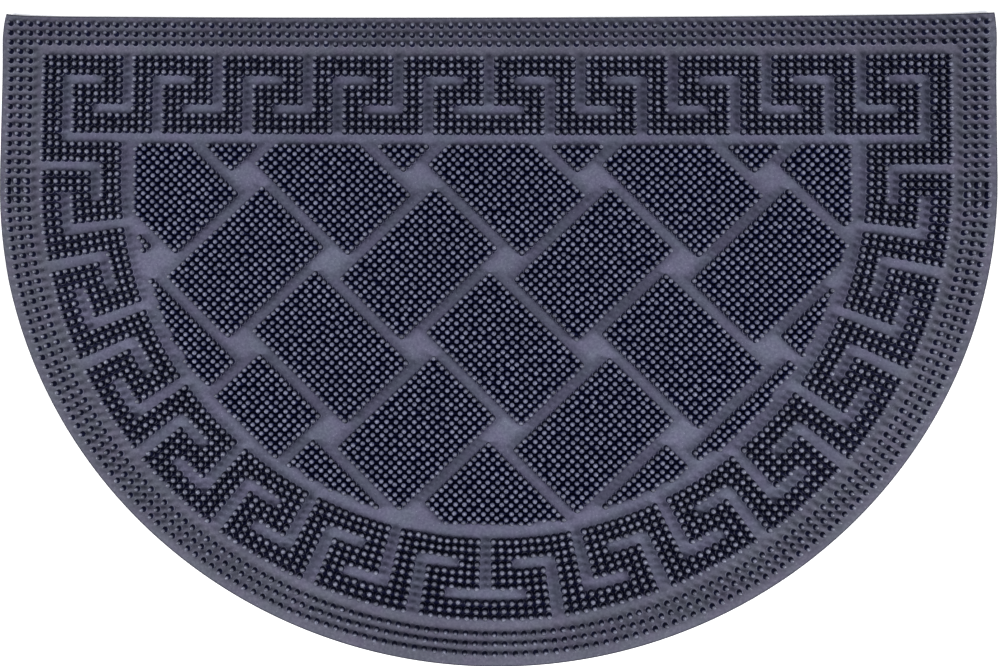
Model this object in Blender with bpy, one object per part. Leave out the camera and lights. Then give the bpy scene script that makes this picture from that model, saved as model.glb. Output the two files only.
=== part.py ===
"""A half-round doormat of black rubber, moulded in one piece.

A thin sheet lies flat, with its straight edge towards +Y and its round edge towards -Y.
Short pins stand on it in three fields: three lines of studs all round, a Greek key ribbon
three pins wide, and a basket weave of pin blocks turned to 45 degrees. Thousands of pins
are more than a solid should hold, so each field is raised here as the ribs, ribbon and
blocks that its pins fill, up to the height of the pin tops.

The layout is drawn in metres on a flat sheet of paper, x to the right and y up, with the
centre of the round end at (0, 0). The function placed() then lays it on the floor.
"""

import math

import bmesh
import bpy

# Heights above the floor, in metres. The pads start a little inside the sheet.
SHEET_TOP = 0.0020
PAD_FOOT = 0.0012
PIN_TOP = 0.0070

# The pins, in metres. A pitch is the distance from one pin's middle to the next.
KEY_PITCH = 0.00457
WEAVE_PITCH = 0.00388
PIN_RADIUS = 0.0014
STUD_RADIUS = 0.0012

# The key's outermost line of pins runs down a straight side, then round half a circle.
KEY_HALF_WIDTH_PINS = 59
KEY_SIDE_PINS = 16
KEY_QUARTER_ARC_PINS = 79
KEY_RADIUS = KEY_HALF_WIDTH_PINS * KEY_PITCH
KEY_TOP = KEY_SIDE_PINS * KEY_PITCH

# From that line out to the mat's edge, at the sides, at the straight top and at the foot.
MARGIN_SIDE = 0.0274
MARGIN_TOP = 0.0266
MARGIN_FOOT = 0.0288
CORNER_RADIUS = 0.0015

# The stud lines, counted out from the same line, and the weave's last pins, counted in.
STUD_LINES = (0.0094, 0.0152, 0.0210)
FIELD_INSET = 12 * KEY_PITCH

# A unit of the key is 12 pins long. Its ribbon is 3 pins wide, so the ribbon's middle
# runs through pins 1, 5 and 9 of the band's depth, counted from the outside.
UNIT = 12
OUTER = 1
MIDDLE = 5
INNER = 9
TOP_UNITS_EACH_SIDE = 5
SIDE_UNITS = 6
FOOT_ROW = KEY_SIDE_PINS + KEY_QUARTER_ARC_PINS
RIBBON_HALF_WIDTH = 1 + PIN_RADIUS / KEY_PITCH
LONGEST_BENT_STEP = 4

# The basket weave: a block of 14 by 21 pins in each square cell of 19 pitches.
BLOCK_SHORT_PINS = 14
BLOCK_LONG_PINS = 21
CELL = 19 * WEAVE_PITCH
WEAVE_CENTRE_X = 0.0107
WEAVE_CENTRE_Y = -0.1068
WEAVE_TURN = math.radians(45)
CELLS_EACH_WAY = 4

# The mat as it lies: a little shallower than a true half round, with its corners a little
# spread, as a thin sheet of rubber settles.
DEPTH_SCALE = 0.9666
SPREAD = 0.0097
SPREAD_RADIUS = 0.300
SPREAD_CENTRE_Y = -0.1014

# How finely the long lines are divided.
EDGE_ARC_STEPS = 88
RIB_ARC_STEPS = 44
SIDE_STEPS = 2
TOP_STEPS = 12
CORNER_STEPS = 3

RUBBER_COLOUR = (0.075, 0.072, 0.105, 1.0)
RUBBER_ROUGHNESS = 0.6


def spread(x, y):
    """A drawn point with the depth and the spread of the mat as it lies."""
    across = x
    along = (y - SPREAD_CENTRE_Y) * DEPTH_SCALE
    grown = 1 + SPREAD * (across**2 + along**2) / SPREAD_RADIUS**2
    return across * grown, along * grown


CORNER_Y = spread(KEY_RADIUS + MARGIN_SIDE, KEY_TOP + MARGIN_TOP)[1]
FOOT_Y = spread(0, -KEY_RADIUS - MARGIN_FOOT)[1]


def placed(x, y):
    """A drawn point on the floor, with the middle of the whole mat at the origin."""
    across, along = spread(x, y)
    return across, along - (CORNER_Y + FOOT_Y) / 2


def quarter_turn(centre_x, centre_y, radius, first_degrees):
    """Points of a rounded corner, or its one sharp point where the radius is 0."""
    steps = CORNER_STEPS if radius else 0
    points = []
    for step in range(steps + 1):
        angle = math.radians(first_degrees + 90 * step / CORNER_STEPS)
        points.append((centre_x + radius * math.cos(angle), centre_y + radius * math.sin(angle)))
    return points


def half_round(side_margin, top_margin, foot_margin, arc_steps, corner_radius=0.0):
    """The closed half-round line that lies these distances outside the key's outermost pins."""
    side = KEY_RADIUS + side_margin
    top = KEY_TOP + top_margin
    foot = KEY_RADIUS + foot_margin
    corner_x = side - corner_radius
    corner_y = top - corner_radius
    points = quarter_turn(corner_x, corner_y, corner_radius, 0)
    for step in range(1, TOP_STEPS):
        points.append((side - 2 * side * step / TOP_STEPS, top))
    points += quarter_turn(-corner_x, corner_y, corner_radius, 90)
    for step in range(1, SIDE_STEPS):
        points.append((-side, top * (1 - step / SIDE_STEPS)))
    for step in range(arc_steps + 1):
        angle = math.pi * step / arc_steps
        points.append((-side * math.cos(angle), -foot * math.sin(angle)))
    for step in range(1, SIDE_STEPS):
        points.append((side, top * step / SIDE_STEPS))
    return points


def key_point(column, row):
    """A pin's place in the left half of the key band.

    Columns count from the band's left edge and rows from its top. Past the straight side
    the rows turn with the round end, so there a column is a ring and a row is a spoke.
    """
    if row <= KEY_SIDE_PINS:
        return column * KEY_PITCH - KEY_RADIUS, KEY_TOP - row * KEY_PITCH
    radius = KEY_RADIUS - column * KEY_PITCH
    angle = math.radians(90) * (row - KEY_SIDE_PINS) / KEY_QUARTER_ARC_PINS
    return -radius * math.cos(angle), -radius * math.sin(angle)


def key_turns():
    """The corners of the ribbon's middle line, from the top's middle round to the foot's middle."""
    turns = [(KEY_HALF_WIDTH_PINS, INNER)]
    for unit in reversed(range(TOP_UNITS_EACH_SIDE)):
        column = unit * UNIT
        turns += [(column + MIDDLE, INNER), (column + MIDDLE, MIDDLE), (column + INNER, MIDDLE)]
        turns += [(column + INNER, OUTER), (column + OUTER, OUTER)]
        if unit:
            turns.append((column + OUTER, INNER))
    for unit in range(1, SIDE_UNITS + 2):
        row = unit * UNIT
        turns += [(OUTER, row + OUTER), (INNER, row + OUTER), (INNER, row + INNER)]
        turns += [(MIDDLE, row + INNER), (MIDDLE, row + MIDDLE), (OUTER, row + MIDDLE)]
    turns.append((OUTER, FOOT_ROW))
    return turns


def stepped(turns):
    """The same line, with points added where it runs round the bend."""
    points = [turns[0]]
    for (column, row), (next_column, next_row) in zip(turns, turns[1:]):
        bent_rows = abs(next_row - row) if max(row, next_row) > KEY_SIDE_PINS else 0
        steps = max(1, math.ceil(bent_rows / LONGEST_BENT_STEP))
        for step in range(1, steps + 1):
            part = step / steps
            points.append((column + (next_column - column) * part, row + (next_row - row) * part))
    return points


def direction(start, end):
    """Which way a level or upright stretch runs, as steps of -1, 0 or 1."""
    across = end[0] - start[0]
    down = end[1] - start[1]
    return (across > 0) - (across < 0), (down > 0) - (down < 0)


def beside(points, distance):
    """The line at this distance to one side of a line whose corners are all square."""
    line = []
    last = len(points) - 1
    for index, (column, row) in enumerate(points):
        before = direction(points[max(index - 1, 0)], points[max(index, 1)])
        after = direction(points[min(index, last - 1)], points[min(index + 1, last)])
        if before == after:
            shift = (before[1], -before[0])
        else:
            shift = (before[1] + after[1], -before[0] - after[0])
        line.append((column + distance * shift[0], row + distance * shift[1]))
    return line


def whole_loop(left_half):
    """A loop across both halves of the mat, from a drawn line in the left half."""
    right_half = [(-x, y) for x, y in reversed(left_half[1:-1])]
    return left_half + right_half


def turned(across, along):
    """A drawn point of the weave, from its place along the weave's own two directions."""
    return (
        WEAVE_CENTRE_X + across * math.cos(WEAVE_TURN) + along * math.sin(WEAVE_TURN),
        WEAVE_CENTRE_Y + across * math.sin(WEAVE_TURN) - along * math.cos(WEAVE_TURN),
    )


def prism(name, loops, low, high, collection):
    """A flat solid between two heights, filled inside the first loop and outside the next."""
    curve = bpy.data.curves.new(name, "CURVE")
    curve.dimensions = "2D"
    curve.fill_mode = "BOTH"
    curve.extrude = (high - low) / 2
    for loop in loops:
        spline = curve.splines.new("POLY")
        spline.points.add(len(loop) - 1)
        spline.use_cyclic_u = True
        for point, (x, y) in zip(spline.points, loop):
            point.co = (*placed(x, y), 0, 1)
    guide = bpy.data.objects.new(name + "_guide", curve)
    guide.location.z = (low + high) / 2
    collection.objects.link(guide)
    bpy.context.view_layer.update()
    graph = bpy.context.evaluated_depsgraph_get()
    mesh = bpy.data.meshes.new_from_object(guide.evaluated_get(graph))
    solid = bpy.data.objects.new(name, mesh)
    solid.matrix_world = guide.matrix_world
    collection.objects.link(solid)
    bpy.data.objects.remove(guide)
    shape = bmesh.new()
    shape.from_mesh(mesh)
    bmesh.ops.remove_doubles(shape, verts=shape.verts, dist=1e-6)
    bmesh.ops.recalc_face_normals(shape, faces=shape.faces)
    shape.to_mesh(mesh)
    shape.free()
    return solid


def as_tool(solid):
    """Marks a solid that only shapes another one."""
    solid.hide_render = True
    solid.display_type = "WIRE"
    return solid


def combine(solid, tool, operation):
    """Joins a tool to a solid, or cuts the solid back to it."""
    modifier = solid.modifiers.new(f"{operation.lower()} {tool.name}", "BOOLEAN")
    modifier.operation = operation
    modifier.object = tool


def make_key_ribbon(collection):
    """The Greek key, one closed loop of ribbon."""
    middle = stepped(key_turns())
    loops = []
    for distance in (RIBBON_HALF_WIDTH, -RIBBON_HALF_WIDTH):
        line = [key_point(column, row) for column, row in beside(middle, distance)]
        line[0] = (0.0, line[0][1])
        line[-1] = (0.0, line[-1][1])
        loops.append(whole_loop(line))
    return prism("key_ribbon", loops, PAD_FOOT, PIN_TOP, collection)


def make_stud_rib(number, distance, collection):
    """The rib that one line of studs fills."""
    loops = []
    for edge in (distance + STUD_RADIUS, distance - STUD_RADIUS):
        loops.append(half_round(edge, edge, edge, RIB_ARC_STEPS))
    return prism(f"stud_rib_{number}", loops, PAD_FOOT, PIN_TOP, collection)


def make_weave(collection):
    """The blocks of the basket weave, cut off at the inner edge of the key's strip."""
    shape = bmesh.new()
    for i in range(-CELLS_EACH_WAY, CELLS_EACH_WAY + 1):
        for j in range(-CELLS_EACH_WAY, CELLS_EACH_WAY + 1):
            pins = (BLOCK_SHORT_PINS, BLOCK_LONG_PINS)
            if (i + j) % 2:
                pins = (BLOCK_LONG_PINS, BLOCK_SHORT_PINS)
            size_across = (pins[0] - 1) * WEAVE_PITCH + 2 * PIN_RADIUS
            size_along = (pins[1] - 1) * WEAVE_PITCH + 2 * PIN_RADIUS
            for corner in bmesh.ops.create_cube(shape, size=1)["verts"]:
                across = i * CELL + corner.co.x * size_across
                along = j * CELL - corner.co.y * size_along
                height = PAD_FOOT if corner.co.z < 0 else PIN_TOP
                corner.co = (*placed(*turned(across, along)), height)
    mesh = bpy.data.meshes.new("weave_blocks")
    shape.to_mesh(mesh)
    shape.free()
    blocks = bpy.data.objects.new("weave_blocks", mesh)
    collection.objects.link(blocks)
    inset = PIN_RADIUS - FIELD_INSET
    field_line = half_round(inset, inset, inset, EDGE_ARC_STEPS)
    field = prism("weave_field", [field_line], PAD_FOOT / 2, PIN_TOP + PAD_FOOT, collection)
    combine(blocks, as_tool(field), "INTERSECT")
    return blocks


def make_rubber():
    """Dull black rubber with a cool cast."""
    rubber = bpy.data.materials.new("rubber")
    rubber.use_nodes = True
    shader = rubber.node_tree.nodes["Principled BSDF"]
    shader.inputs["Base Color"].default_value = RUBBER_COLOUR
    shader.inputs["Roughness"].default_value = RUBBER_ROUGHNESS
    shader.inputs["Metallic"].default_value = 0.0
    return rubber


def new_collection(name):
    """A collection of that name in the scene."""
    collection = bpy.data.collections.new(name)
    bpy.context.scene.collection.children.link(collection)
    return collection


def main():
    """Clears the scene and models the mat."""
    for old in list(bpy.data.objects):
        bpy.data.objects.remove(old)
    whole = new_collection("doormat")
    tools = new_collection("pads")
    edge = half_round(MARGIN_SIDE, MARGIN_TOP, MARGIN_FOOT, EDGE_ARC_STEPS, CORNER_RADIUS)
    mat = prism("mat", [edge], 0.0, SHEET_TOP, whole)
    mat.data.materials.append(make_rubber())
    pads = [make_key_ribbon(tools), make_weave(tools)]
    for number, distance in enumerate(STUD_LINES, start=1):
        pads.append(make_stud_rib(number, distance, tools))
    for pad in pads:
        combine(mat, as_tool(pad), "UNION")


main()
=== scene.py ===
"""How the half-round rubber pin mat looks: its sheet, its thousands of pins, and the photograph's view.

The sheet and the pins are drawn in metres on a flat plan, x to the right and y up, with the
centre of the round end at (0, 0). The function placed() then lays them on the floor.
"""

import math

import bpy
import numpy as np
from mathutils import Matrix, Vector
from mathutils.kdtree import KDTree


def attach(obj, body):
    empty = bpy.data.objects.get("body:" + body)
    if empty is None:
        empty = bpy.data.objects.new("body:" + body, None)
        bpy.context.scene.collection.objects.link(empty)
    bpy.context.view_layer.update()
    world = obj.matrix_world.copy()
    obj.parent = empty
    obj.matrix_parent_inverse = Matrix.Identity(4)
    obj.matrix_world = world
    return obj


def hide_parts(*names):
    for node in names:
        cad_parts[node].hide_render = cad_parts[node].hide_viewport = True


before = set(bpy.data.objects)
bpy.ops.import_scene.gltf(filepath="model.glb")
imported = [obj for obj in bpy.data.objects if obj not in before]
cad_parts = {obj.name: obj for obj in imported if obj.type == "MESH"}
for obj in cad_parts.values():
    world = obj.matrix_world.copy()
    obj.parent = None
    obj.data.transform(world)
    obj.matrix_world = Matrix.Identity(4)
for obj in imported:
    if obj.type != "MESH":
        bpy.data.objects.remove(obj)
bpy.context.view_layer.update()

# Heights above the floor, in metres.
SHEET_TOP = 0.0020
PIN_TOP = 0.0070

# A pitch is the distance from one pin's middle to the next, in metres.
KEY_PITCH = 0.00457
WEAVE_PITCH = 0.00388
STUD_PITCH = 1.272 * KEY_PITCH

# The key's outermost line of pins runs down a straight side, then round half a circle.
KEY_HALF_WIDTH_PINS = 59
KEY_SIDE_PINS = 16
KEY_QUARTER_ARC_PINS = 79
KEY_RADIUS = KEY_HALF_WIDTH_PINS * KEY_PITCH
KEY_TOP = KEY_SIDE_PINS * KEY_PITCH

# From that line out to the mat's edge, at the sides, at the straight top and at the foot.
MARGIN_SIDE = 0.0274
MARGIN_TOP = 0.0266
MARGIN_FOOT = 0.0288

# The stud lines, counted out from the same line, and the weave's last pins, counted in.
STUD_LINES = (0.0094, 0.0152, 0.0210)
FIELD_INSET_TOP = 11.75 * KEY_PITCH
FIELD_INSET_ROUND = 12.07 * KEY_PITCH
TOP_STUDS_EACH_SIDE = 50
SIDE_STUDS = 17
ARC_STUD_SPACES = 154

# A unit of the key is 12 pins long, and its ribbon is 3 pins wide.
UNIT = 12
OUTER = 1
MIDDLE = 5
INNER = 9
TOP_UNITS_EACH_SIDE = 5
SIDE_UNITS = 6
FOOT_ROW = KEY_SIDE_PINS + KEY_QUARTER_ARC_PINS

# The basket weave: a block of 14 by 21 pins in each square cell of 19 pitches.
BLOCK_SHORT_PINS = 14
BLOCK_LONG_PINS = 21
CELL = 19 * WEAVE_PITCH
WEAVE_CENTRE_X = 0.0107
WEAVE_CENTRE_Y = -0.1068
WEAVE_TURN = math.radians(45)
CELLS_EACH_WAY = 4

# The mat as it lies: a little shallower than a true half round, with its corners a little spread.
DEPTH_SCALE = 0.9666
SPREAD = 0.0097
SPREAD_RADIUS = 0.300
SPREAD_CENTRE_Y = -0.1014

# The two corners of the straight edge curl up off the floor, and the free strip of sheet
# there is drawn in and along. The left side was trimmed a little closer than the right.
CURL_HEIGHT = 0.0026
CURL_REACH = 0.045
LEFT_CORNER_DRAW = (0.0026, 0.0007)
RIGHT_CORNER_DRAW = (-0.0019, 0.0001)
DRAW_REACH = 0.018
FREE_STRIP = 0.0090
LEFT_TRIM = 0.0007

# A pin from its foot, sunk in the sheet, to its crown: height above the floor and radius.
KEY_PIN = (
    (0.0014, 0.00250),
    (0.0022, 0.00208),
    (0.0030, 0.00172),
    (0.0062, 0.00154),
    (0.00670, 0.00136),
    (0.00695, 0.00082),
)
WEAVE_PIN = (
    (0.0014, 0.00228),
    (0.0022, 0.00188),
    (0.0031, 0.00160),
    (0.0062, 0.00148),
    (0.00670, 0.00130),
    (0.00695, 0.00078),
)
STUD = (
    (0.0014, 0.00255),
    (0.0022, 0.00195),
    (0.0030, 0.00155),
    (0.0062, 0.00130),
    (0.00670, 0.00112),
    (0.00694, 0.00068),
)
PIN_SIDES = 9
PIN_LEAN = 0.050
PIN_HEIGHT_CHANGE = 0.00012

# The sheet's grid and its rounded rim: how far in from the edge, and how far below the top.
GRID_ACROSS = 300
GRID_ALONG = 180
GRID_BELOW_STEP = 6
GRID_SIDE_EVENNESS = 0.2
ANGLE_STEPS = 4000
RIM = ((0.0011, 0.0), (0.0006, 0.00006), (0.0002, 0.00028), (0.0, 0.0007))
RIM_FOOT = 0.0003
# How much of the painted edge shade the rim's upper ring takes.
UPPER_RIM_SHADE = 0.6

# How closely pins stand round a point, near by and further out. A stud counts for less than a pin.
CROWD_REACH = 0.0032
WIDE_REACH = 0.0070
FURTHEST_REACHES = 2.2
STUD_CROWD_WEIGHT = 0.35
OWN_CROWD = 0.68
FULL_CROWD = 2.0
FULL_WIDE = 5.0

# Shade painted on the sheet where pins crowd it, from open (0) to as crowded with pins as in the weave
# (1): black between pins, a deeper navy in the thickest weave.
PAINTED_CROWD_SHADE = (
    (0.30, (1.0, 1.0, 1.0)),
    (0.47, (0.93, 0.92, 0.95)),
    (0.56, (0.45, 0.44, 0.54)),
    (0.65, (0.045, 0.052, 0.17)),
    (0.80, (0.045, 0.052, 0.17)),
    (0.98, (0.095, 0.115, 0.36)),
)

# Painted light: smooth strips with pins on both sides are painted a little lighter and bluer than the
# margin, more so the more pins stand round them.
PAINTED_LIGHT_AMID_PINS = (
    (0.15, (1.0, 1.0, 1.0)),
    (0.42, (1.02, 1.015, 1.02)),
    (0.9, (1.03, 1.025, 1.05)),
)

# The sheet's colours, as red, green and blue. The margin is painted darker and warmer, partly its own
# tone and partly painted shade, and this fades out between two distances from the edge.
FILM_DARK = (0.088, 0.089, 0.129)
FILM_LIGHT = (0.108, 0.110, 0.158)
# Shade painted dark along the cut edge and its rounded rim.
PAINTED_EDGE_SHADE = (0.010, 0.010, 0.016)
MARGIN_TONE_AND_SHADE = (0.94, 0.92, 0.85)
MARGIN_WIDTHS = (0.022, 0.034)
CLOUD_SHADES = ((0.35, FILM_DARK), (0.65, FILM_LIGHT))
HUE_SHADES = ((0.35, (0.96, 1.02, 0.97)), (0.65, (1.03, 0.98, 1.03)))
SPECK_SHADES = ((0.36, (0.84, 0.84, 0.86)), (0.68, (1.16, 1.16, 1.13)))
DUST_SHADES = ((0.70, (1.0, 1.0, 1.0)), (0.78, (1.9, 1.9, 1.8)))
SHEET_ROUGHNESS = 0.55
SHEET_SPECULAR = 0.06

# The pins' colours, from the start of the crown up to its tip: near black sides and a darker shoulder,
# partly painted shade, a crown rubbed grey, and a painted highlight at the tip. A pin's height runs
# from 0 at the sheet to 1 at the tip, and near 0 the pin has the sheet's colour, only lighter.
PIN_SIDE = (0.0032, 0.0040, 0.0180)
PIN_SHOULDER = (0.058, 0.061, 0.085)
PIN_CROWN = (0.091, 0.094, 0.128)
PAINTED_TIP_HIGHLIGHT = (0.168, 0.174, 0.218)
CROWN_HEIGHTS = (0.80, 1.0)
PIN_WEAR_AND_PAINTED_LIGHT = (
    (0.0, PIN_SIDE),
    (0.38, PIN_SIDE),
    (0.58, PIN_SHOULDER),
    (0.95, PIN_CROWN),
    (1.0, PAINTED_TIP_HIGHLIGHT),
)
PIN_TO_PIN_SHADES = ((0.0, (0.70, 0.70, 0.70)), (1.0, (1.25, 1.25, 1.25)))
# Flecks of painted highlight on the crowns.
PAINTED_HIGHLIGHT_FLECKS = ((0.36, (0.60, 0.60, 0.60)), (0.64, (1.45, 1.45, 1.43)))
FOOT_HEIGHTS = (0.03, 0.14)
# A light ring painted round each pin's foot, as a highlight.
PAINTED_FOOT_HIGHLIGHT = (1.9, 1.9, 1.8)
POLISH_SHADES = ((0.80, (0.50, 0.50, 0.50)), (0.93, (0.20, 0.20, 0.20)))
PIN_SPECULAR = 0.16

# In the crowded weave the pins' sides are painted a lighter navy, the tone of the shade there, from the
# first crowding to the second.
PAINTED_WEAVE_SHADE_TONE = (0.0040, 0.0056, 0.0230)
PAINTED_WEAVE_SHADE_CROWDS = (0.85, 1.25)

# Noise patterns: repeats in each metre, and detail.
CLOUD = (11.0, 3.0)
HUE = (60.0, 2.0)
SPECK = (650.0, 4.0)
DUST = (1300.0, 1.0)
HIGHLIGHT_FLECK_NOISE = (1300.0, 2.0)
SHEET_GRAIN = (1400.0, 3.0)
PIN_GRAIN = (1600.0, 2.0)
FLOOR_GRAIN = (6.0, 3.0)

# How deep the grain is in metres, and how strong.
SHEET_BUMP = (0.00005, 0.6)
PIN_BUMP = (0.00004, 0.5)

# The white floor reaches this far each way, and glows a little so that it stays white.
FLOOR_REACH = 3.0
FLOOR_SHADES = ((0.3, (0.93, 0.93, 0.93)), (0.7, (0.95, 0.95, 0.95)))
FLOOR_ROUGHNESS = 0.9
FLOOR_GLOW = 0.25

# Two soft lamps stand left and right of the mat, a little towards its round end.
SOFTBOXES = (
    ("softbox_left", (-1.15, -0.28, 0.88), 19.8),
    ("softbox_right", (1.12, -0.52, 0.88), 23.5),
)
SOFTBOX_SIZE = 0.55
SKY_COLOUR = (0.93, 0.96, 1.12)
SKY_STRENGTH = 0.40

# The camera looks almost straight down on the mat.
CAMERA_PLACE = (-0.00162, 0.00088, 0.70227)
CAMERA_TURN_DEGREES = (3.5934, 2.659, 0.5885)
CAMERA_LENS = 42.137
CAMERA_SENSOR = 36.0
CAMERA_SHIFT = (0.07, -0.073)
CAMERA_NEAR = 0.01

# The sockets of a Mix node that mixes colours.
MIX_FACTOR = 0
MIX_FIRST = 6
MIX_SECOND = 7
MIX_RESULT = 2


def spread(x, y):
    """Drawn points with the depth and the spread of the mat as it lies."""
    along = (y - SPREAD_CENTRE_Y) * DEPTH_SCALE
    grown = 1 + SPREAD * (x**2 + along**2) / SPREAD_RADIUS**2
    return x * grown, along * grown


CORNER = spread(KEY_RADIUS + MARGIN_SIDE, KEY_TOP + MARGIN_TOP)
FOOT = spread(0.0, -KEY_RADIUS - MARGIN_FOOT)
MIDDLE_Y = (CORNER[1] + FOOT[1]) / 2


def placed(x, y):
    """Drawn points on the floor, with the middle of the whole mat at the origin."""
    across, along = spread(x, y)
    return across, along - MIDDLE_Y


def near_corner(x, y, reach):
    """1 at the straight edge's two corners, falling to 0 at this reach from them."""
    corner_y = CORNER[1] - MIDDLE_Y
    away = np.hypot(CORNER[0] - np.abs(x), corner_y - y)
    return np.clip(1 - away / reach, 0, 1) ** 2


def curl(x, y):
    """How far the mat has lifted at these points on the floor."""
    return CURL_HEIGHT * near_corner(x, y, CURL_REACH)


def drawn_in(points):
    """The sheet's points on the floor, with its corners drawn in and its left side trimmed."""
    x, y = points[:, 0], points[:, 1]
    corner_y = CORNER[1] - MIDDLE_Y
    in_strip = np.maximum(np.abs(x) - CORNER[0] + FREE_STRIP, y - corner_y + FREE_STRIP)
    near = near_corner(x, y, DRAW_REACH) * np.clip(in_strip / FREE_STRIP, 0, 1)
    left = (x < 0)[:, None]
    moved = points + near[:, None] * np.where(left, LEFT_CORNER_DRAW, RIGHT_CORNER_DRAW)
    by_the_side = np.clip((-x - CORNER[0] + FREE_STRIP) / FREE_STRIP, 0, 1)
    moved[:, 0] += LEFT_TRIM * by_the_side
    return moved


def set_values(piece, name, values):
    """Stores one number for each vertex, which the piece's material reads."""
    layer = piece.data.attributes.new(name, "FLOAT", "POINT")
    layer.data.foreach_set("value", np.asarray(values, np.float32))


def mesh_piece(name, vertices, faces, smooth=True):
    mesh = bpy.data.meshes.new(name)
    mesh.from_pydata([tuple(v) for v in vertices], [], faces)
    mesh.validate()
    mesh.polygons.foreach_set("use_smooth", [smooth] * len(mesh.polygons))
    mesh.update()
    piece = bpy.data.objects.new(name, mesh)
    bpy.context.scene.collection.objects.link(piece)
    return piece


def crowd_weight(profile):
    """How much a pin of this profile crowds what is round it."""
    return STUD_CROWD_WEIGHT if profile is STUD else 1.0


def pin_finder(fields):
    """All the pins' middles on the floor, and how much each one crowds what is round it."""
    finder = KDTree(sum(len(places) for places, _ in fields))
    weights = []
    for places, profile in fields:
        x, y = placed(places[:, 0], places[:, 1])
        for across, along in zip(x, y):
            finder.insert((across, along, 0.0), len(weights))
            weights.append(crowd_weight(profile))
    finder.balance()
    return finder, weights


def crowding(points, finder, weights, reach=CROWD_REACH):
    """How closely pins stand round each point, counting pins less the further off they are."""
    total = np.zeros(len(points))
    for index, (across, along) in enumerate(points):
        for _, pin, distance in finder.find_range((across, along, 0.0), FURTHEST_REACHES * reach):
            total[index] += weights[pin] * math.exp(-((distance / reach) ** 2))
    return total


def column_angles():
    """Angles round the half circle that space the grid's columns nearly evenly across the mat."""
    fine = np.linspace(0, math.pi, ANGLE_STEPS + 1)
    travelled = np.concatenate([[0.0], np.cumsum(np.sin(fine[1:]) + GRID_SIDE_EVENNESS)])
    return np.interp(np.linspace(0, travelled[-1], GRID_ACROSS + 1), travelled, fine)


def edge_columns(inset):
    """The lower and the upper end of each column of the sheet's grid, this far inside the edge."""
    side = KEY_RADIUS + MARGIN_SIDE - inset
    foot = KEY_RADIUS + MARGIN_FOOT - inset
    top = KEY_TOP + MARGIN_TOP - inset
    angles = column_angles()
    x = -side * np.cos(angles)
    return x, -foot * np.sin(angles), np.full_like(x, top)


def side_line(x, low, high):
    """The points of one outermost column of the grid, without its two ends."""
    parts = np.linspace(0, 1, GRID_ALONG + 1)[1:-1]
    return np.stack([np.full(GRID_ALONG - 1, x), low + (high - low) * parts], axis=1)


def edge_ring(inset):
    """The whole edge line, once round, with one point for each outer point of the grid."""
    x, low, high = edge_columns(inset)
    foot = np.stack([x, low], axis=1)
    right = side_line(x[-1], low[-1], high[-1])
    top = np.stack([x, high], axis=1)[::-1]
    left = side_line(x[0], low[0], high[0])[::-1]
    return np.concatenate([foot, right, top, left])


def from_edge(x, y):
    """How far inside the edge these drawn points are, at least."""
    side = KEY_RADIUS + MARGIN_SIDE
    straight = np.minimum(KEY_TOP + MARGIN_TOP - y, side - np.abs(x))
    return np.where(y >= 0, straight, side - np.hypot(x, y * side / (KEY_RADIUS + MARGIN_FOOT)))


def grid_number(column, row):
    """The number of the sheet's top vertex in this column and row of the grid."""
    return column * (GRID_ALONG + 1) + row


def edge_numbers():
    """The grid's outer vertices, in the order of edge_ring()."""
    edge = [grid_number(column, 0) for column in range(GRID_ACROSS + 1)]
    edge += [grid_number(GRID_ACROSS, row) for row in range(1, GRID_ALONG)]
    edge += [grid_number(column, GRID_ALONG) for column in reversed(range(GRID_ACROSS + 1))]
    edge += [grid_number(0, row) for row in reversed(range(1, GRID_ALONG))]
    return edge


def top_faces():
    """The fine faces on top, by the numbers of their vertices."""
    faces = []
    for column in range(GRID_ACROSS):
        for row in range(GRID_ALONG):
            corners = ((column, row), (column + 1, row), (column + 1, row + 1), (column, row + 1))
            faces.append(tuple(grid_number(*corner) for corner in corners))
    return faces


def under_outlines():
    """The coarse faces below, by the numbers of the top vertices above them.

    Along the mat's edge they have every vertex that the edge has.
    """
    step = GRID_BELOW_STEP
    outlines = []
    for column in range(0, GRID_ACROSS, step):
        for row in range(0, GRID_ALONG, step):
            right = column + step
            top = row + step
            outline = [grid_number(column + k, row) for k in range(step if row == 0 else 1)]
            outline += [grid_number(right, row + k) for k in range(step if right == GRID_ACROSS else 1)]
            outline += [grid_number(right - k, top) for k in range(step if top == GRID_ALONG else 1)]
            outline += [grid_number(column, top - k) for k in range(step if column == 0 else 1)]
            outlines.append(outline[::-1])
    return outlines


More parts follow.
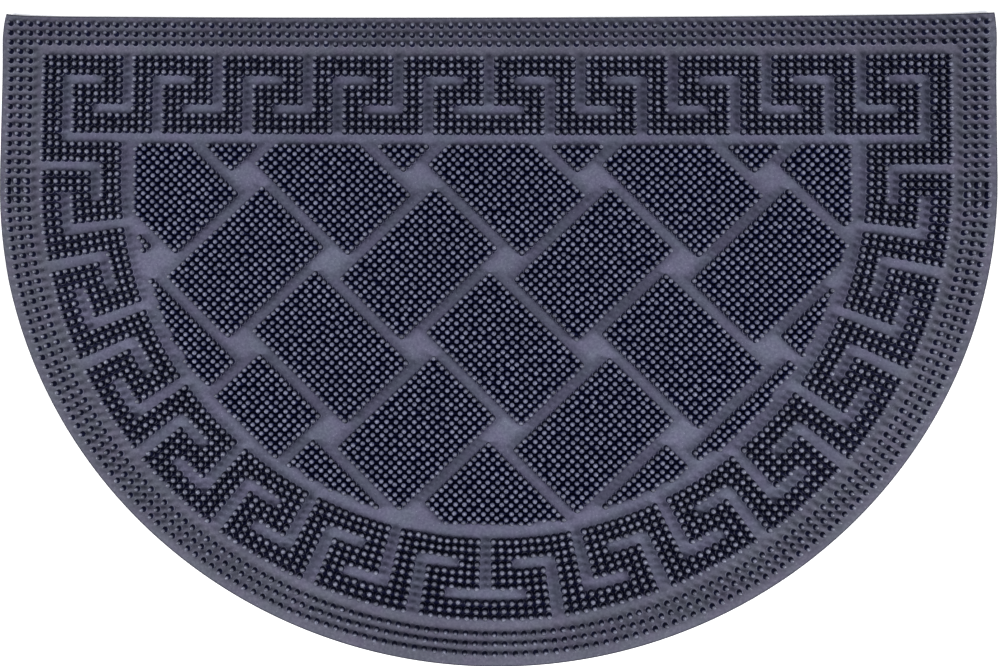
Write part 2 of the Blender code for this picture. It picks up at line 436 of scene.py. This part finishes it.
def make_sheet(finder, weights):
    """The thin sheet: a grid on top, a coarser one below, and a rounded rim between them."""
    x, low, high = edge_columns(RIM[0][0])
    parts = np.linspace(0, 1, GRID_ALONG + 1)
    grid_x = np.repeat(x[:, None], GRID_ALONG + 1, axis=1).ravel()
    grid_y = (low[:, None] + (high - low)[:, None] * parts[None, :]).ravel()
    flat = np.stack(placed(grid_x, grid_y), axis=1)
    grid = drawn_in(flat)
    lift = curl(grid[:, 0], grid[:, 1])
    vertices = [(p[0], p[1], SHEET_TOP + z) for p, z in zip(grid, lift)]
    faces = top_faces()
    under = {}
    for outline in under_outlines():
        for corner in outline:
            if corner not in under:
                under[corner] = len(vertices)
                vertices.append((grid[corner][0], grid[corner][1], lift[corner]))
        faces.append(tuple(under[corner] for corner in outline))

    edge = edge_numbers()
    rings = [edge]
    levels = [(inset, SHEET_TOP - drop) for inset, drop in RIM[1:]] + [(0.0, RIM_FOOT)]
    for inset, height in levels:
        ring = edge_ring(inset)
        ring = drawn_in(np.stack(placed(ring[:, 0], ring[:, 1]), axis=1))
        rings.append(list(range(len(vertices), len(vertices) + len(ring))))
        vertices += [(p[0], p[1], height + z) for p, z in zip(ring, curl(ring[:, 0], ring[:, 1]))]
    rings.append([under[corner] for corner in edge])
    for upper, lower in zip(rings, rings[1:]):
        for index in range(len(upper)):
            after = (index + 1) % len(upper)
            faces.append((upper[index], lower[index], lower[after], upper[after]))

    piece = mesh_piece("mat_sheet", vertices, faces)
    on_top = len(grid)
    crowd = np.zeros(len(vertices))
    crowd[:on_top] = crowding(flat, finder, weights)
    set_values(piece, "crowd", crowd)
    wide = np.zeros(len(vertices))
    wide[:on_top] = crowding(flat, finder, [1.0] * len(weights), WIDE_REACH)
    set_values(piece, "wide", wide)
    margin = np.ones(len(vertices))
    margin[:on_top] = np.interp(from_edge(grid_x, grid_y), MARGIN_WIDTHS, (1, 0))
    set_values(piece, "margin", margin)
    rim = np.zeros(len(vertices))
    rim[rings[1][0] :] = 1
    rim[rings[1]] = UPPER_RIM_SHADE
    set_values(piece, "rim", rim)
    return piece


def pin_vertices(places, profile, seed):
    """Every pin's vertices, ring by ring and then its tip, and its own shade from 0 to 1."""
    random = np.random.default_rng(seed)
    count = len(places)
    x, y = placed(places[:, 0], places[:, 1])
    lift = curl(x, y)
    lean = random.normal(0, PIN_LEAN, (count, 2))
    shorter = random.normal(0, PIN_HEIGHT_CHANGE, count).clip(-2 * PIN_HEIGHT_CHANGE, 0)
    start_angle = random.uniform(0, 2 * math.pi, count)
    shade = random.uniform(0, 1, count)
    angles = start_angle[:, None] + np.arange(PIN_SIDES)[None, :] * 2 * math.pi / PIN_SIDES
    tip = PIN_TOP - SHEET_TOP
    rings = []
    for height, radius in profile:
        above = max(height - SHEET_TOP, 0)
        z = height + lift + shorter * (above / tip)
        ring_x = x[:, None] + lean[:, :1] * above + radius * np.cos(angles)
        ring_y = y[:, None] + lean[:, 1:] * above + radius * np.sin(angles)
        rings.append(np.stack([ring_x, ring_y, np.repeat(z[:, None], PIN_SIDES, axis=1)], axis=2))
    tips = np.stack([x + lean[:, 0] * tip, y + lean[:, 1] * tip, PIN_TOP + lift + shorter], axis=1)
    return np.concatenate([*rings, tips[:, None, :]], axis=1), shade


def pin_faces(levels):
    """The faces of one pin that has this many rings of vertices below its tip."""
    faces = []
    for level in range(levels - 1):
        low = level * PIN_SIDES
        high = low + PIN_SIDES
        for side in range(PIN_SIDES):
            after = (side + 1) % PIN_SIDES
            faces.append((low + side, low + after, high + after, high + side))
    last = (levels - 1) * PIN_SIDES
    tip = levels * PIN_SIDES
    for side in range(PIN_SIDES):
        faces.append((last + side, last + (side + 1) % PIN_SIDES, tip))
    faces.append(tuple(reversed(range(PIN_SIDES))))
    return faces


def pins_mesh(name, places, profile, seed, finder, weights):
    """One joined mesh of a pin of this profile at each drawn place."""
    vertices, shade = pin_vertices(places, profile, seed)
    count, per_pin = vertices.shape[:2]
    levels = len(profile)
    one = pin_faces(levels)
    faces = []
    for pin in range(count):
        base = pin * per_pin
        faces += [tuple(base + corner for corner in face) for face in one]
    piece = mesh_piece(name, vertices.reshape(-1, 3).tolist(), faces)
    set_values(piece, "shade", np.repeat(shade, per_pin))
    heights = np.repeat([height for height, _ in profile], PIN_SIDES).tolist() + [PIN_TOP]
    set_values(piece, "height", np.tile((np.array(heights) - SHEET_TOP) / (PIN_TOP - SHEET_TOP), count))
    foot = vertices[:, PIN_SIDES : 2 * PIN_SIDES, :2].reshape(-1, 2)
    others = (crowding(foot, finder, weights) - crowd_weight(profile) * OWN_CROWD).clip(0)
    crowd = np.zeros((count, per_pin))
    crowd[:, : levels * PIN_SIDES] = np.tile(others.reshape(count, PIN_SIDES), (1, levels))
    set_values(piece, "crowd", crowd.ravel())
    return piece


def key_point(column, row):
    """A pin's place in the left half of the key band."""
    if row <= KEY_SIDE_PINS:
        return column * KEY_PITCH - KEY_RADIUS, KEY_TOP - row * KEY_PITCH
    radius = KEY_RADIUS - column * KEY_PITCH
    angle = math.radians(90) * (row - KEY_SIDE_PINS) / KEY_QUARTER_ARC_PINS
    return -radius * math.cos(angle), -radius * math.sin(angle)


def key_turns():
    """The corners of the ribbon's middle line, from the top's middle round to the foot's middle."""
    turns = [(KEY_HALF_WIDTH_PINS, INNER)]
    for unit in reversed(range(TOP_UNITS_EACH_SIDE)):
        column = unit * UNIT
        turns += [(column + MIDDLE, INNER), (column + MIDDLE, MIDDLE), (column + INNER, MIDDLE)]
        turns += [(column + INNER, OUTER), (column + OUTER, OUTER)]
        if unit:
            turns.append((column + OUTER, INNER))
    for unit in range(1, SIDE_UNITS + 2):
        row = unit * UNIT
        turns += [(OUTER, row + OUTER), (INNER, row + OUTER), (INNER, row + INNER)]
        turns += [(MIDDLE, row + INNER), (MIDDLE, row + MIDDLE), (OUTER, row + MIDDLE)]
    turns.append((OUTER, FOOT_ROW))
    return turns


def key_pins():
    """The drawn places of the key's pins in the left half, and those on the line of symmetry."""
    spots = set()
    turns = key_turns()
    for (column, row), (next_column, next_row) in zip(turns, turns[1:]):
        for c in range(min(column, next_column) - 1, max(column, next_column) + 2):
            for r in range(min(row, next_row) - 1, max(row, next_row) + 2):
                spots.add((c, r))
    left = []
    middle = []
    for c, r in sorted(spots):
        if c == KEY_HALF_WIDTH_PINS or r == FOOT_ROW:
            middle.append(key_point(c, r))
        elif c < KEY_HALF_WIDTH_PINS and r < FOOT_ROW:
            left.append(key_point(c, r))
    return np.array(left), np.array(middle)


def in_field(x, y):
    """Whether a drawn point lies in the weave's half-round field."""
    half = KEY_RADIUS - FIELD_INSET_ROUND
    below = y <= KEY_TOP - FIELD_INSET_TOP
    round_end = (y >= 0) & (np.abs(x) <= half) | (np.hypot(x, y) <= half)
    return below & round_end


def weave_pins(wide):
    """The drawn places of the pins of the blocks that run one way."""
    across_pins = BLOCK_LONG_PINS if wide else BLOCK_SHORT_PINS
    along_pins = BLOCK_SHORT_PINS if wide else BLOCK_LONG_PINS
    across_steps = (np.arange(across_pins) - (across_pins - 1) / 2) * WEAVE_PITCH
    along_steps = (np.arange(along_pins) - (along_pins - 1) / 2) * WEAVE_PITCH
    places = []
    for i in range(-CELLS_EACH_WAY, CELLS_EACH_WAY + 1):
        for j in range(-CELLS_EACH_WAY, CELLS_EACH_WAY + 1):
            if ((i + j) % 2 == 1) != wide:
                continue
            across, along = np.meshgrid(i * CELL + across_steps, j * CELL + along_steps)
            x = WEAVE_CENTRE_X + across * math.cos(WEAVE_TURN) + along * math.sin(WEAVE_TURN)
            y = WEAVE_CENTRE_Y + across * math.sin(WEAVE_TURN) - along * math.cos(WEAVE_TURN)
            places.append(np.stack([x.ravel(), y.ravel()], axis=1))
    places = np.concatenate(places)
    return places[in_field(places[:, 0], places[:, 1])]


def border_studs():
    """The drawn places of the three lines of studs: along the top, down the sides, round the foot."""
    places = []
    for out in STUD_LINES:
        for k in range(-TOP_STUDS_EACH_SIDE, TOP_STUDS_EACH_SIDE + 1):
            places.append((k * STUD_PITCH, KEY_TOP + out))
    last = TOP_STUDS_EACH_SIDE
    for k in (-last, 1 - last, 2 - last, last - 2, last - 1, last):
        for row in range(1, SIDE_STUDS + 1):
            places.append((k * STUD_PITCH, KEY_TOP + STUD_LINES[0] - row * STUD_PITCH))
    for out in STUD_LINES:
        for step in range(1, ARC_STUD_SPACES):
            angle = math.pi * step / ARC_STUD_SPACES
            radius = KEY_RADIUS + out
            places.append((-radius * math.cos(angle), -radius * math.sin(angle)))
    return np.array(places)


def left_half(places):
    return places[places[:, 0] < 0]


def right_half(places):
    return places[places[:, 0] >= 0]


def pin_fields():
    """Each piece of pins by name, with its pins' drawn places and profile."""
    key_left, key_middle = key_pins()
    key_right = np.concatenate([key_left * (-1, 1), key_middle])
    flat_blocks = weave_pins(True)
    upright_blocks = weave_pins(False)
    return {
        "pins_border": (border_studs(), STUD),
        "pins_key_left": (key_left, KEY_PIN),
        "pins_key_right": (key_right, KEY_PIN),
        "pins_weave_flat_left": (left_half(flat_blocks), WEAVE_PIN),
        "pins_weave_flat_right": (right_half(flat_blocks), WEAVE_PIN),
        "pins_weave_upright_left": (left_half(upright_blocks), WEAVE_PIN),
        "pins_weave_upright_right": (right_half(upright_blocks), WEAVE_PIN),
    }


def new_material(name):
    material = bpy.data.materials.new(name)
    material.use_nodes = True
    tree = material.node_tree
    tree.nodes.clear()
    output = tree.nodes.new("ShaderNodeOutputMaterial")
    shader = tree.nodes.new("ShaderNodeBsdfPrincipled")
    tree.links.new(shader.outputs["BSDF"], output.inputs["Surface"])
    return material, tree, shader


def noise(tree, pattern):
    coords = tree.nodes.new("ShaderNodeTexCoord")
    texture = tree.nodes.new("ShaderNodeTexNoise")
    scale, detail = pattern
    texture.inputs["Scale"].default_value = scale
    texture.inputs["Detail"].default_value = detail
    tree.links.new(coords.outputs["Object"], texture.inputs["Vector"])
    return texture.outputs["Fac"]


def ramp(tree, value, stops):
    node = tree.nodes.new("ShaderNodeValToRGB")
    elements = node.color_ramp.elements
    while len(elements) < len(stops):
        elements.new(0.5)
    for element, (position, colour) in zip(elements, stops):
        element.position = position
        element.color = (*colour, 1.0)
    tree.links.new(value, node.inputs["Fac"])
    return node.outputs["Color"]


def mix(tree, factor, first, second, blend="MIX"):
    node = tree.nodes.new("ShaderNodeMix")
    node.data_type = "RGBA"
    node.blend_type = blend
    for place, value in ((MIX_FACTOR, factor), (MIX_FIRST, first), (MIX_SECOND, second)):
        socket = node.inputs[place]
        if isinstance(value, (int, float)):
            socket.default_value = value
        elif isinstance(value, tuple):
            socket.default_value = (*value, 1.0)
        else:
            tree.links.new(value, socket)
    return node.outputs[MIX_RESULT]


def times(tree, first, second):
    """Two colours multiplied."""
    return mix(tree, 1.0, first, second, "MULTIPLY")


def bump(tree, shader, pattern, depth_and_strength):
    node = tree.nodes.new("ShaderNodeBump")
    distance, strength = depth_and_strength
    node.inputs["Strength"].default_value = strength
    node.inputs["Distance"].default_value = distance
    tree.links.new(noise(tree, pattern), node.inputs["Height"])
    tree.links.new(node.outputs["Normal"], shader.inputs["Normal"])


def scaled(tree, value, low, high):
    """0 to 1 as a value rises from low to high."""
    node = tree.nodes.new("ShaderNodeMapRange")
    node.inputs["From Min"].default_value = low
    node.inputs["From Max"].default_value = high
    tree.links.new(value, node.inputs["Value"])
    return node.outputs["Result"]


def attribute(tree, name):
    node = tree.nodes.new("ShaderNodeAttribute")
    node.attribute_name = name
    return node.outputs["Fac"]


def film_colour(tree):
    """Grey-blue in the open with cloudy dust and fine specks, with shade painted black where pins crowd
    it, painted light amid pins, and a margin painted darker, partly its own tone and partly painted
    shade.
    """
    cloud = ramp(tree, noise(tree, CLOUD), CLOUD_SHADES)
    hue = ramp(tree, noise(tree, HUE), HUE_SHADES)
    speck = ramp(tree, noise(tree, SPECK), SPECK_SHADES)
    dust = ramp(tree, noise(tree, DUST), DUST_SHADES)
    # Shade painted where pins crowd the sheet: black between them, navy in the crowded weave.
    shade = ramp(tree, scaled(tree, attribute(tree, "crowd"), 0.0, FULL_CROWD), PAINTED_CROWD_SHADE)
    # Painted light: a little lighter and bluer where many pins stand round.
    wide = ramp(tree, scaled(tree, attribute(tree, "wide"), 0.0, FULL_WIDE), PAINTED_LIGHT_AMID_PINS)
    film = times(tree, times(tree, cloud, hue), times(tree, speck, dust))
    # The margin painted darker and warmer: partly its own tone, partly painted shade.
    film = mix(tree, attribute(tree, "margin"), film, times(tree, film, MARGIN_TONE_AND_SHADE))
    return times(tree, times(tree, film, wide), shade)


def sheet_rubber():
    """The smooth film between the pins, with shade painted dark along its cut edge."""
    material, tree, shader = new_material("sheet_rubber")
    # Shade painted dark along the cut edge.
    colour = mix(tree, attribute(tree, "rim"), film_colour(tree), PAINTED_EDGE_SHADE)
    tree.links.new(colour, shader.inputs["Base Color"])
    shader.inputs["Roughness"].default_value = SHEET_ROUGHNESS
    shader.inputs["Specular IOR Level"].default_value = SHEET_SPECULAR
    bump(tree, shader, SHEET_GRAIN, SHEET_BUMP)
    return material


def pin_rubber():
    """The pins: near black down their sides, rubbed grey on the crown, each a little different. The
    sides and shoulders are partly painted shade, and the tip, flecks on the crown and a ring at the
    foot are painted highlights.
    """
    material, tree, shader = new_material("pin_rubber")
    height = attribute(tree, "height")
    # Rubbed grey crown with painted shade on the sides and shoulders and a painted highlight at the
    # tip.
    crown = ramp(tree, scaled(tree, height, *CROWN_HEIGHTS), PIN_WEAR_AND_PAINTED_LIGHT)
    varied = ramp(tree, attribute(tree, "shade"), PIN_TO_PIN_SHADES)
    # Flecks of painted highlight.
    highlight_fleck = ramp(tree, noise(tree, HIGHLIGHT_FLECK_NOISE), PAINTED_HIGHLIGHT_FLECKS)
    body = times(tree, times(tree, crown, varied), highlight_fleck)
    # The pins' sides in the crowded weave are painted the lighter navy of the shade there.
    crowded = scaled(tree, attribute(tree, "crowd"), *PAINTED_WEAVE_SHADE_CROWDS)
    body = mix(tree, crowded, body, PAINTED_WEAVE_SHADE_TONE, "ADD")
    # Painted highlight: the pin's foot takes the sheet's colour, painted shade included, lightened.
    foot = times(tree, film_colour(tree), PAINTED_FOOT_HIGHLIGHT)
    colour = mix(tree, scaled(tree, height, *FOOT_HEIGHTS), foot, body)
    tree.links.new(colour, shader.inputs["Base Color"])
    tree.links.new(ramp(tree, height, POLISH_SHADES), shader.inputs["Roughness"])
    shader.inputs["Specular IOR Level"].default_value = PIN_SPECULAR
    bump(tree, shader, PIN_GRAIN, PIN_BUMP)
    return material


def floor_paint():
    material, tree, shader = new_material("floor_white")
    tree.links.new(ramp(tree, noise(tree, FLOOR_GRAIN), FLOOR_SHADES), shader.inputs["Base Color"])
    shader.inputs["Roughness"].default_value = FLOOR_ROUGHNESS
    shader.inputs["Emission Color"].default_value = (1.0, 1.0, 1.0, 1.0)
    shader.inputs["Emission Strength"].default_value = FLOOR_GLOW
    return material


def make_floor():
    corners = [(-1, -1), (1, -1), (1, 1), (-1, 1)]
    vertices = [(x * FLOOR_REACH, y * FLOOR_REACH, 0) for x, y in corners]
    floor = mesh_piece("floor", vertices, [(0, 1, 2, 3)], False)
    floor.data.materials.append(floor_paint())


def area_light(name, place, size, power):
    """A square lamp that faces the middle of the mat."""
    light = bpy.data.lights.new(name, "AREA")
    light.shape = "SQUARE"
    light.size = size
    light.energy = power
    lamp = bpy.data.objects.new(name, light)
    lamp.location = place
    lamp.rotation_euler = Vector(place).to_track_quat("Z", "Y").to_euler()
    bpy.context.scene.collection.objects.link(lamp)


def make_lights():
    world = bpy.data.worlds.new("studio")
    world.use_nodes = True
    sky = world.node_tree.nodes["Background"]
    sky.inputs["Color"].default_value = (*SKY_COLOUR, 1.0)
    sky.inputs["Strength"].default_value = SKY_STRENGTH
    bpy.context.scene.world = world
    for name, place, power in SOFTBOXES:
        area_light(name, place, SOFTBOX_SIZE, power)


def make_camera():
    camera = bpy.data.cameras.new("camera")
    camera.sensor_width = CAMERA_SENSOR
    camera.lens = CAMERA_LENS
    camera.shift_x, camera.shift_y = CAMERA_SHIFT
    camera.clip_start = CAMERA_NEAR
    holder = bpy.data.objects.new("camera", camera)
    holder.location = CAMERA_PLACE
    holder.rotation_euler = [math.radians(angle) for angle in CAMERA_TURN_DEGREES]
    bpy.context.scene.collection.objects.link(holder)
    bpy.context.scene.camera = holder


make_camera()
fields = pin_fields()
finder, weights = pin_finder(fields.values())
sheet = make_sheet(finder, weights)
sheet.data.materials.append(sheet_rubber())
rubber = pin_rubber()
pins = []
for seed, (name, (places, profile)) in enumerate(fields.items()):
    piece = pins_mesh(name, places, profile, seed, finder, weights)
    piece.data.materials.append(rubber)
    print(name, len(places), "pins")
    pins.append(piece)

for piece in [sheet, *pins]:
    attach(piece, "root")
    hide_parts("mat")

make_floor()
make_lights()
bpy.context.scene.view_settings.view_transform = "Standard"
